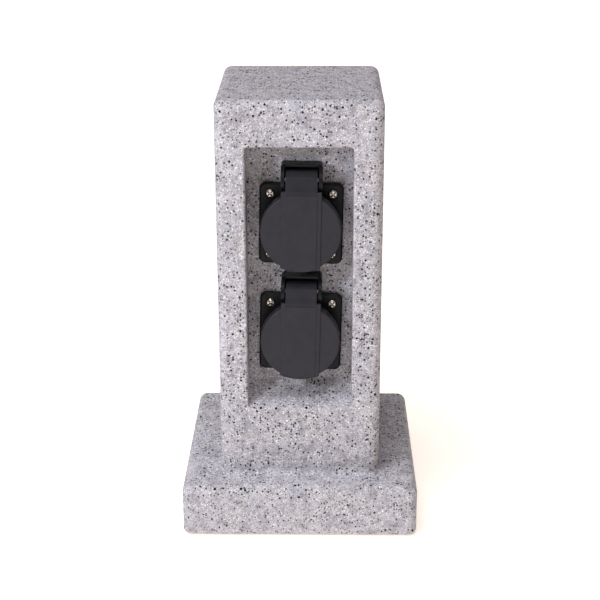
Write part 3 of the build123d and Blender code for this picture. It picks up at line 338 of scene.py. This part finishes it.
# Metal: noises and bands as for the stone, how dark its stains are, the colour of its painted shade in slots and
# corners and how far that reaches into them, how far its roughness falls and rises, and its relief in metres
METAL_STAIN_NOISE = (0.9, 4.0)
METAL_STAIN_BAND = (0.35, 0.75)
METAL_STAIN_DIM = 0.6
# Painted shade: the dark colour laid into slots and corners that ambient occlusion finds enclosed
METAL_SLOT_SHADE = srgb(34, 32, 30)
METAL_SLOT_SHADE_BAND = (0.25, 0.8, 1.0, 0.0)
SLOT_REACH = 0.0012
SLOT_SAMPLES = 8
METAL_MARK_NOISE = (2.5, 3.0)
METAL_MARK_BAND = (0.3, 0.7)
METAL_SMOOTHER = 0.06
METAL_ROUGHER = 0.1
METAL_RELIEF_NOISE = (1.3, 2.0)
METAL_RELIEF = 0.00008


def plated(name, colour, roughness):
    """Plated or bare metal: fine marks, faint stains, and painted shade in its slots and corners."""
    metal = Finish(name)
    stain = metal.band(metal.noise(*METAL_STAIN_NOISE), *METAL_STAIN_BAND)
    tint = metal.mix(stain, colour, dimmed(colour, METAL_STAIN_DIM))
    local = {"only_local": True, "samples": SLOT_SAMPLES}
    # Painted shade: ambient occlusion darkens the metal towards this colour in its slots and corners
    hollow = metal.add("ShaderNodeAmbientOcclusion", local, Distance=SLOT_REACH)
    painted_slot_shade = metal.band(hollow.outputs["AO"], *METAL_SLOT_SHADE_BAND)
    tint = metal.mix(painted_slot_shade, tint, METAL_SLOT_SHADE)
    marks = metal.band(
        metal.noise(*METAL_MARK_NOISE),
        *METAL_MARK_BAND,
        roughness - METAL_SMOOTHER,
        roughness + METAL_ROUGHER,
    )
    relief = metal.bump(metal.noise(*METAL_RELIEF_NOISE), METAL_RELIEF, metal.soft_edges(EDGE_R))
    return metal.surface(Base_Color=tint, Roughness=marks, Metallic=1.0, Normal=relief)


# Rubber: noises and bands as for the stone, relief in metres
RUBBER_BLACK = srgb(26, 26, 27)
RUBBER_BLOOM = srgb(44, 43, 43)
RUBBER_BLOOM_NOISE = (0.3, 4.0)
RUBBER_BLOOM_BAND = (0.35, 0.75)
RUBBER_RELIEF_NOISE = (2.2, 3.0)
RUBBER_RELIEF = 0.00003
RUBBER_ROUGHNESS = 0.78
RUBBER_GLEAM = 0.3


def rubber():
    """Black rubber with a chalky bloom."""
    soft = Finish("black_rubber")
    bloom = soft.band(soft.noise(*RUBBER_BLOOM_NOISE), *RUBBER_BLOOM_BAND)
    tint = soft.mix(bloom, RUBBER_BLACK, RUBBER_BLOOM)
    relief = soft.bump(soft.noise(*RUBBER_RELIEF_NOISE), RUBBER_RELIEF)
    return soft.surface(
        Base_Color=tint, Roughness=RUBBER_ROUGHNESS, Specular_IOR_Level=RUBBER_GLEAM, Normal=relief
    )


# Earth wire: the stripe lies where X in millimetres, with a little wander, has passed its band
EARTH_GREEN = srgb(30, 110, 50)
EARTH_YELLOW = srgb(225, 205, 40)
STRIPE_WANDER = (0.2, 1.0)
STRIPE_BAND = (0.45, 0.6)
WIRE_ROUGHNESS = 0.35


def earth_insulation():
    """Green wire insulation with a yellow stripe along one side."""
    wire = Finish("earth_insulation")
    axes = wire.add("ShaderNodeSeparateXYZ", Vector=wire.place)
    wander = wire.sums("ADD", axes.outputs["X"], wire.noise(*STRIPE_WANDER))
    tint = wire.mix(wire.band(wander, *STRIPE_BAND), EARTH_GREEN, EARTH_YELLOW)
    return wire.surface(Base_Color=tint, Roughness=WIRE_ROUGHNESS)


FINISHES = {
    "granite": granite(),
    "black_plastic": moulded("socket_plastic", srgb(14, 14, 17), roughness=0.42, gleam=SOCKET_GLEAM),
    "lid_plastic": moulded(
        "lid_plastic", srgb(38, 37, 43), roughness=0.42, grain=LID_GRAIN, edge=LID_EDGE_R
    ),
    "insert_plastic": moulded("insert_plastic", srgb(44, 44, 47), roughness=0.5),
    "rubber": rubber(),
    "nickel_steel": plated("nickel_plate", srgb(222, 214, 204), roughness=0.2),
    "steel": plated("plain_steel", srgb(170, 170, 174), roughness=0.32),
    "brass": plated("plain_brass", srgb(214, 178, 104), roughness=0.3),
    "plate_plastic": moulded("plate_plastic", srgb(52, 52, 54), roughness=0.6, grain=PLATE_GRAIN),
    "gland_plastic": moulded("gland_plastic", srgb(40, 40, 42), roughness=0.5),
    "terminal_plastic": moulded("terminal_plastic", srgb(226, 220, 206), roughness=0.45),
    "brown_wire": moulded("brown_insulation", srgb(96, 58, 34), roughness=WIRE_ROUGHNESS),
    "blue_wire": moulded("blue_insulation", srgb(40, 92, 170), roughness=WIRE_ROUGHNESS),
    "earth_wire": earth_insulation(),
}


def dress_nodes():
    """Gives every CAD node the finish of its slot."""
    slots = {part["node"]: part["material_slot"] for part in frame["record"]["subparts"]}
    for name, node in frame["nodes"].items():
        node.data.materials.clear()
        node.data.materials.append(FINISHES[slots[name]])


dress_nodes()


def show(name, data):
    """Puts a new object that holds this mesh, lamp or camera into the scene, at the origin."""
    item = bpy.data.objects.new(name, data)
    bpy.context.scene.collection.objects.link(item)
    return item


def new_piece(name, points, faces, material, smooth=True):
    """A mesh piece from an array of points and a list of faces, its place in its mesh."""
    mesh = bpy.data.meshes.new(name)
    mesh.from_pydata(points.tolist(), [], faces)
    mesh.materials.append(material)
    if smooth:
        mesh.shade_smooth()
    return show(name, mesh)


# Lid springs: sizes in metres, points of the helix per turn, sides of the round wire
SPRING_COIL_R = 0.0026
SPRING_WIRE_R = 0.00035
SPRING_PITCH = 0.00135
SPRING_TURNS = 4
SPRING_BACK_LEG = 0.006
SPRING_FRONT_LEG = 0.0034
SPRING_STEPS = 28
SPRING_SIDES = 10
SPRING_NODES = {"upper_lid_hinge": "upper_lid_spring", "lower_lid_hinge": "lower_lid_spring"}


def spring_path():
    """Helix with a straight leg at each end, as how far along, up and out from the pin: along is the
    pitch times the turns from the middle, up is minus the coil's radius times the cosine of the
    turn, and out is that radius times the sine."""
    turn = np.linspace(0.0, SPRING_TURNS, SPRING_TURNS * SPRING_STEPS + 1)
    angle = 2.0 * np.pi * turn
    climb = SPRING_PITCH * (turn - SPRING_TURNS / 2.0)
    coil = np.stack((climb, -SPRING_COIL_R * np.cos(angle), SPRING_COIL_R * np.sin(angle)), axis=1)
    way = np.array((SPRING_PITCH / (2.0 * np.pi), 0.0, SPRING_COIL_R))
    way = way / np.linalg.norm(way)
    return np.vstack((coil[0] - way * SPRING_BACK_LEG, coil, coil[-1] + way * SPRING_FRONT_LEG))


def round_wire(path, radius, sides):
    """Points of a wire: each step of the path plus the radius times a circle across the path, which
    is the inward direction times the cosine and the across direction times the sine of a turn."""
    ahead = np.gradient(path, axis=0)
    ahead = ahead / np.linalg.norm(ahead, axis=1, keepdims=True)
    inward = np.cross((1.0, 0.0, 0.0), ahead)
    inward = inward / np.linalg.norm(inward, axis=1, keepdims=True)
    across = np.cross(ahead, inward)
    turn = np.linspace(0.0, 2.0 * np.pi, sides, endpoint=False)[:, None]
    circle = inward[:, None] * np.cos(turn) + across[:, None] * np.sin(turn)
    return (path[:, None] + radius * circle).reshape(-1, 3)


def tube_faces(steps, sides):
    """Four-sided faces between neighbouring sections, and one face over each end."""
    place = np.arange(steps * sides).reshape(steps, sides)
    beside = np.roll(place, -1, axis=1)
    walls = np.stack((place[:-1], beside[:-1], beside[1:], place[1:]), axis=2).reshape(-1, 4)
    return walls.tolist() + [place[0, ::-1].tolist(), place[-1].tolist()]


def lid_spring(joint):
    """One lid's torsion spring: its coil winds up between the pillar's leg and the lid's leg."""
    pin = np.array(joint["pos_m"])
    along = -np.array(joint["axis"])
    out = np.array((0.0, -1.0, 0.0))
    up = np.cross(out, along)
    path = spring_path()
    points = pin + round_wire(path, SPRING_WIRE_R, SPRING_SIDES) @ np.stack((along, up, out))
    faces = tube_faces(len(path), SPRING_SIDES)
    spring = new_piece(SPRING_NODES[joint["name"]] + "_wire", points, faces, FINISHES["steel"])
    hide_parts(SPRING_NODES[joint["name"]])
    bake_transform(spring)


for lid_joint in frame["joints"]:
    lid_spring(lid_joint)

# Sill at the foot of the recess, in metres; the curl is a power of the way to the back wall
SILL_FRONT_Y = -0.05326
SILL_FRONT_Z = 0.08034
SILL_BACK_Y = -0.033
SILL_RISE = 0.0095
SILL_CURL = 0.0022
SILL_CURL_POWER = 9
SILL_HALF = 0.0322
SILL_SINK = 0.0004
SILL_STEPS = 24


def recess_sill():
    """Cast slope that sheds rain: its height is the front's, plus the rise times the share of the
    way to the back wall, plus the curl times a high power of that share."""
    share = np.linspace(0.0, 1.0, SILL_STEPS)
    ramp_y = SILL_FRONT_Y + share * (SILL_BACK_Y - SILL_FRONT_Y)
    ramp_z = SILL_FRONT_Z + SILL_RISE * share + SILL_CURL * share**SILL_CURL_POWER
    below_y = (SILL_BACK_Y + SILL_SINK, SILL_BACK_Y + SILL_SINK, SILL_FRONT_Y)
    below_z = (ramp_z[-1], SILL_FRONT_Z - SILL_SINK, SILL_FRONT_Z - SILL_SINK)
    section = np.stack((np.append(ramp_y, below_y), np.append(ramp_z, below_z)), axis=1)
    ends = np.vstack([np.insert(section, 0, side, axis=1) for side in (SILL_HALF, -SILL_HALF)])
    faces = tube_faces(2, len(section))
    sill = new_piece("recess_sill", ends, faces, FINISHES["granite"], smooth=False)
    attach(sill, "pillar")


recess_sill()

# Cove between the column's foot and the base, in metres; the corners go round against the clock
COLUMN_HALVES = (0.050, 0.054)
COLUMN_CORNER_R = 0.0065
CORNER_SIGNS = ((1.0, 1.0), (-1.0, 1.0), (-1.0, -1.0), (1.0, -1.0))
BASE_TOP_Z = 0.0345
COVE_R = 0.0032
COVE_SINK = 0.0005
COVE_STEPS = 12
COVE_CORNER_STEPS = 12


def ring_faces(steps, sides):
    """Four-sided faces of a section carried round a closed path."""
    place = np.arange(steps * sides).reshape(steps, sides)
    ahead = np.roll(place, -1, axis=0)
    corners = (place, ahead, np.roll(ahead, -1, axis=1), np.roll(place, -1, axis=1))
    return np.stack(corners, axis=2).reshape(-1, 4).tolist()


def foot_cove():
    """Hollow quarter circle from the base's top to the column's wall, carried round the column: out
    is the radius times one minus the sine of the turn, high is it times one minus the cosine."""
    turn = np.linspace(0.0, np.pi / 2.0, COVE_STEPS)
    out = np.append(COVE_R * (1.0 - np.sin(turn)), (-COVE_SINK, -COVE_SINK, COVE_R))
    high = np.append(COVE_R * (1.0 - np.cos(turn)), (COVE_R, -COVE_SINK, -COVE_SINK))
    quarter = np.linspace(0.0, np.pi / 2.0, COVE_CORNER_STEPS)
    starts = np.arange(len(CORNER_SIGNS)) * np.pi / 2.0
    way = (quarter[None, :] + starts[:, None]).reshape(-1)
    heading = np.stack((np.cos(way), np.sin(way)), axis=1)
    signs = np.repeat(CORNER_SIGNS, COVE_CORNER_STEPS, axis=0)
    centres = signs * (np.array(COLUMN_HALVES) - COLUMN_CORNER_R)
    flat = centres[:, None] + heading[:, None] * (COLUMN_CORNER_R + out)[None, :, None]
    level = np.broadcast_to(BASE_TOP_Z + high, flat.shape[:2])[:, :, None]
    points = np.concatenate((flat, level), axis=2).reshape(-1, 3)
    cove = new_piece("foot_cove", points, ring_faces(len(way), len(out)), FINISHES["granite"])
    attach(cove, "pillar")


foot_cove()


def camera():
    """The photo's camera."""
    pitch = math.radians(CAMERA_PITCH)
    yaw = math.radians(CAMERA_YAW)
    roll = math.radians(CAMERA_ROLL)
    ahead = Vector((math.sin(yaw) * math.cos(pitch), math.cos(yaw) * math.cos(pitch), -math.sin(pitch)))
    level = Vector((math.cos(yaw), -math.sin(yaw), 0.0))
    over = level.cross(ahead)
    right = level * math.cos(roll) + over * math.sin(roll)
    up = over * math.cos(roll) - level * math.sin(roll)
    data = bpy.data.cameras.new("photo_camera")
    data.sensor_width = SENSOR_MM
    data.lens = SENSOR_MM * FOCAL_PX / PHOTO_PX
    data.clip_start = CLIP_NEAR
    data.clip_end = CLIP_FAR
    shot = show("photo_camera", data)
    turn = Matrix((right, up, -ahead)).transposed().to_4x4()
    shot.matrix_world = Matrix.Translation(CAMERA_PLACE) @ turn
    bpy.context.scene.camera = shot


def lamp(name, kind, place, behind, strength, colour):
    """A lamp of one kind at a place, turned so that the direction behind is at its back."""
    data = bpy.data.lights.new(name, kind)
    data.energy = strength
    data.color = colour
    light = show(name, data)
    light.location = place
    light.rotation_euler = behind.to_track_quat("Z", "Y").to_euler()
    return data


def key_light():
    """A square soft box that looks at the upper part of the column."""
    stand = Vector(KEY_PLACE)
    data = lamp("key", "AREA", stand, stand - Vector(KEY_TARGET), KEY_WATTS, KEY_COLOUR)
    data.size = KEY_SIDE


def overhead_light():
    """A wide distant light from above."""
    turn = math.radians(OVERHEAD_AZIMUTH)
    rise = math.radians(OVERHEAD_ELEVATION)
    away = Vector((math.sin(turn) * math.cos(rise), -math.cos(turn) * math.cos(rise), math.sin(rise)))
    data = lamp("overhead", "SUN", away, away, OVERHEAD_STRENGTH, OVERHEAD_COLOUR)
    data.angle = math.radians(OVERHEAD_SPREAD)


def surround():
    """Dim warm light from all round, and a plain white backdrop where the floor ends."""
    world = bpy.data.worlds.new("studio")
    bpy.context.scene.world = world
    world.use_nodes = True
    nodes = world.node_tree.nodes
    links = world.node_tree.links
    dim = nodes["Background"]
    dim.inputs["Color"].default_value = SURROUND_COLOUR
    dim.inputs["Strength"].default_value = SURROUND_STRENGTH
    backdrop = nodes.new("ShaderNodeBackground")
    backdrop.inputs["Color"].default_value = BACKDROP_COLOUR
    seen = nodes.new("ShaderNodeLightPath")
    choice = nodes.new("ShaderNodeMixShader")
    links.new(seen.outputs["Is Camera Ray"], choice.inputs[0])
    links.new(dim.outputs["Background"], choice.inputs[1])
    links.new(backdrop.outputs["Background"], choice.inputs[2])
    links.new(choice.outputs["Shader"], nodes["World Output"].inputs["Surface"])


def paper_floor():
    """Plain white floor that glows a little warm."""
    paper = Finish("floor_paper")
    tint = paper.mix(paper.noise(*FLOOR_NOISE), FLOOR_DARK, FLOOR_LIGHT)
    material = paper.surface(
        Base_Color=tint,
        Roughness=FLOOR_ROUGHNESS,
        Emission_Color=FLOOR_GLOW,
        Emission_Strength=FLOOR_GLOW_STRENGTH,
    )
    floor = new_piece("floor", FLOOR_CORNERS * FLOOR_SIDE / 2.0, [(0, 1, 2, 3)], material, smooth=False)


camera()
surround()
key_light()
overhead_light()
paper_floor()
bpy.context.scene.view_settings.view_transform = "Standard"
